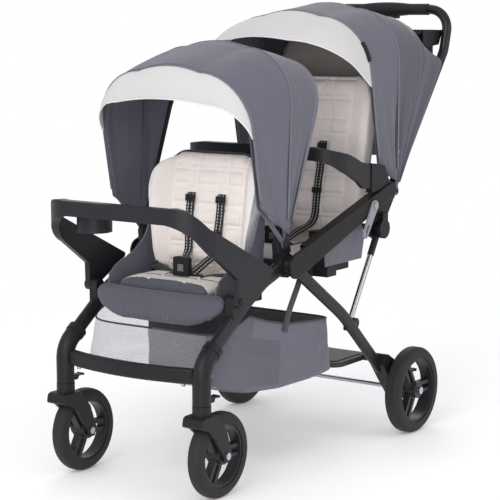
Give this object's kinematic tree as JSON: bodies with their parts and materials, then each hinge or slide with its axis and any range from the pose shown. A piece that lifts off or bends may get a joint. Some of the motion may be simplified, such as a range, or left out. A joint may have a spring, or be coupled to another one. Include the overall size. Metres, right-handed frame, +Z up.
{
  "type": "sit and stand tandem stroller",
  "caption": "Tandem stroller with a front seat, a rear seat, a standing platform, swivelling casters, two folding canopies, swinging trays and a linked folding frame.",
  "frame": {"origin": "middle of the outline at floor level", "axes": "+X to the child's left, +Y to the back where the handle is, +Z up"},
  "size_m": [0.588, 1.18, 1.0814],
  "materials": {
    "frame_black": "satin black",
    "moulding_black": "fine textured black",
    "tray_black": "satin black",
    "rim_black": "satin black",
    "tyre_black": "matte",
    "bright_steel": "zinc plated",
    "silver_grey": "satin silver grey",
    "grey_cloth": "woven grey purple",
    "visor_cloth": "woven off-white",
    "cream_quilt": "quilted cream",
    "dark_cloth": "woven dark grey",
    "webbing": "woven black webbing"
  },
  "bodies": {
    "frame": {"leg_tubes": "frame_black", "leg_elbows": "moulding_black", "crossbar": "moulding_black", "hub_housings": "moulding_black", "frame_pins": "bright_steel", "side_rails": "moulding_black", "front_seat_pan": "moulding_black", "front_seat_pad": "cream_quilt", "calf_rest": "dark_cloth", "seat_side_cloths": "grey_cloth", "rear_seat_pan": "moulding_black", "rear_seat_pad": "cream_quilt", "basket": "grey_cloth", "tray_fittings": "moulding_black", "front_buckle": "moulding_black", "rear_buckle": "moulding_black"},
    "rear_frame": {"rear_legs": "frame_black", "wheel_brackets": "moulding_black", "rear_axle": "bright_steel", "platform": "moulding_black"},
    "handle": {"handle_tube": "frame_black", "handle_castings": "moulding_black", "handle_grip": "moulding_black", "parent_tray": "tray_black", "rear_backrest": "cream_quilt", "rear_harness": "webbing"},
    "struts": {"strut_tubes": "bright_steel", "strut_sleeves": "moulding_black"},
    "latch": {"storage_latch": "silver_grey"},
    "trigger": {"fold_trigger": "silver_grey"},
    "front_bow_middle": {"front_canopy_middle_bow": "moulding_black"},
    "front_bow_front": {"front_canopy_front_bow": "moulding_black", "front_canopy_cloth": "grey_cloth", "front_canopy_visor": "visor_cloth"},
    "rear_bow_middle": {"rear_canopy_middle_bow": "moulding_black"},
    "rear_bow_front": {"rear_canopy_front_bow": "moulding_black", "rear_canopy_cloth": "grey_cloth", "rear_canopy_visor": "visor_cloth"},
    "front_tray_arm": {"front_tray": "tray_black"},
    "rear_tray_arm": {"rear_tray": "tray_black"},
    "front_back": {"front_backrest": "cream_quilt", "front_harness": "webbing"},
    "front_button": {"front_buckle_button": "silver_grey"},
    "rear_button": {"rear_buckle_button": "silver_grey"},
    "caster_left": {"caster_fork_left": "moulding_black", "front_axle_left": "bright_steel"},
    "front_wheel_left": {"front_wheel_left_tyre": "tyre_black", "front_wheel_left_rim": "rim_black"},
    "rear_wheel_left": {"rear_wheel_left_tyre": "tyre_black", "rear_wheel_left_rim": "rim_black"},
    "lock_left": {"swivel_lock_left": "moulding_black"},
    "brake_left": {"brake_pedal_left": "moulding_black"},
    "caster_right": {"caster_fork_right": "moulding_black", "front_axle_right": "bright_steel"},
    "front_wheel_right": {"front_wheel_right_tyre": "tyre_black", "front_wheel_right_rim": "rim_black"},
    "rear_wheel_right": {"rear_wheel_right_tyre": "tyre_black", "rear_wheel_right_rim": "rim_black"},
    "lock_right": {"swivel_lock_right": "moulding_black"},
    "brake_right": {"brake_pedal_right": "moulding_black"}
  },
  "joints": [
    {"name": "caster_swivel_left", "type": "hinge", "parent": "frame", "child": "caster_left", "pos_m": [0.196, -0.532, 0.24], "axis": [0, 0, 1], "continuous": true},
    {"name": "front_wheel_spin_left", "type": "hinge", "parent": "caster_left", "child": "front_wheel_left", "pos_m": [0.196, -0.474, 0.097], "axis": [1, 0, 0], "continuous": true},
    {"name": "rear_wheel_spin_left", "type": "hinge", "parent": "rear_frame", "child": "rear_wheel_left", "pos_m": [0.266, 0.261, 0.109], "axis": [1, 0, 0], "continuous": true},
    {"name": "swivel_lock_turn_left", "type": "hinge", "parent": "frame", "child": "lock_left", "pos_m": [0.196, -0.5055, 0.229], "axis": [1, 0, 0], "range_deg": [0, 20]},
    {"name": "brake_press_left", "type": "hinge", "parent": "rear_frame", "child": "brake_left", "pos_m": [0.224, 0.274, 0.14], "axis": [1, 0, 0], "range_deg": [-18, 0]},
    {"name": "caster_swivel_right", "type": "hinge", "parent": "frame", "child": "caster_right", "pos_m": [-0.196, -0.532, 0.24], "axis": [0, 0, 1], "continuous": true},
    {"name": "front_wheel_spin_right", "type": "hinge", "parent": "caster_right", "child": "front_wheel_right", "pos_m": [-0.196, -0.474, 0.097], "axis": [1, 0, 0], "continuous": true},
    {"name": "rear_wheel_spin_right", "type": "hinge", "parent": "rear_frame", "child": "rear_wheel_right", "pos_m": [-0.266, 0.261, 0.109], "axis": [1, 0, 0], "continuous": true},
    {"name": "swivel_lock_turn_right", "type": "hinge", "parent": "frame", "child": "lock_right", "pos_m": [-0.196, -0.5055, 0.229], "axis": [1, 0, 0], "range_deg": [0, 20]},
    {"name": "brake_press_right", "type": "hinge", "parent": "rear_frame", "child": "brake_right", "pos_m": [-0.224, 0.274, 0.14], "axis": [1, 0, 0], "range_deg": [-18, 0]},
    {"name": "frame_fold", "type": "hinge", "parent": "frame", "child": "handle", "pos_m": [0, 0.21, 0.623], "axis": [1, 0, 0], "range_deg": [0, 48], "deforming": ["basket", "rear_harness"]},
    {"name": "rear_leg_fold", "type": "hinge", "parent": "frame", "child": "rear_frame", "pos_m": [0, -0.217, 0.486], "axis": [1, 0, 0], "range_deg": [0, 12.2]},
    {"name": "strut_fold", "type": "hinge", "parent": "rear_frame", "child": "struts", "pos_m": [0, 0.068, 0.306], "axis": [1, 0, 0], "range_deg": [-25.2, 0]},
    {"name": "rear_canopy_middle_close", "type": "hinge", "parent": "handle", "child": "rear_bow_middle", "pos_m": [0, 0.272, 0.611], "axis": [1, 0, 0], "range_deg": [-9.7, 0]},
    {"name": "rear_canopy_close", "type": "hinge", "parent": "handle", "child": "rear_bow_front", "pos_m": [0, 0.272, 0.611], "axis": [1, 0, 0], "range_deg": [-27, 0], "deforming": ["rear_canopy_cloth", "rear_canopy_visor"]},
    {"name": "front_canopy_close", "type": "hinge", "parent": "frame", "child": "front_bow_front", "pos_m": [0, -0.227, 0.537], "axis": [1, 0, 0], "range_deg": [-36, 0], "deforming": ["front_canopy_cloth", "front_canopy_visor"]},
    {"name": "front_canopy_middle_close", "type": "hinge", "parent": "frame", "child": "front_bow_middle", "pos_m": [0, -0.227, 0.537], "axis": [1, 0, 0], "range_deg": [-14.5, 0]},
    {"name": "front_recline", "type": "hinge", "parent": "frame", "child": "front_back", "pos_m": [0, -0.252, 0.452], "axis": [1, 0, 0], "range_deg": [-20, 0], "deforming": ["seat_side_cloths", "front_harness"]},
    {"name": "front_tray_swing", "type": "hinge", "parent": "frame", "child": "front_tray_arm", "pos_m": [0, -0.417, 0.432], "axis": [1, 0, 0], "range_deg": [0, 60]},
    {"name": "rear_tray_lift", "type": "hinge", "parent": "frame", "child": "rear_tray_arm", "pos_m": [0, 0.136, 0.664], "axis": [1, 0, 0], "range_deg": [-45, 0]},
    {"name": "latch_turn", "type": "hinge", "parent": "frame", "child": "latch", "pos_m": [0.2389, 0.118, 0.592], "axis": [1, 0, 0], "range_deg": [0, 30]},
    {"name": "trigger_squeeze", "type": "slide", "parent": "handle", "child": "trigger", "axis": [0, 0, 1], "range_m": [0, 0.0034], "stiffness_N_per_m": 900, "springref_m": -0.002},
    {"name": "front_buckle_press", "type": "slide", "parent": "frame", "child": "front_button", "axis": [0, 1, 0], "range_m": [0, 0.003], "stiffness_N_per_m": 400, "springref_m": -0.001},
    {"name": "rear_buckle_press", "type": "slide", "parent": "frame", "child": "rear_button", "axis": [0, 1, 0], "range_m": [0, 0.003], "stiffness_N_per_m": 400, "springref_m": -0.001}
  ],
  "couplings": [
    {"joint": "rear_leg_fold", "follows": "frame_fold", "ratio": 0.252},
    {"joint": "strut_fold", "follows": "frame_fold", "ratio": -0.522},
    {"joint": "rear_canopy_middle_close", "follows": "frame_fold", "ratio": -0.2},
    {"joint": "rear_canopy_close", "follows": "frame_fold", "ratio": -0.56},
    {"joint": "front_canopy_middle_close", "follows": "front_canopy_close", "ratio": 0.4}
  ]
}
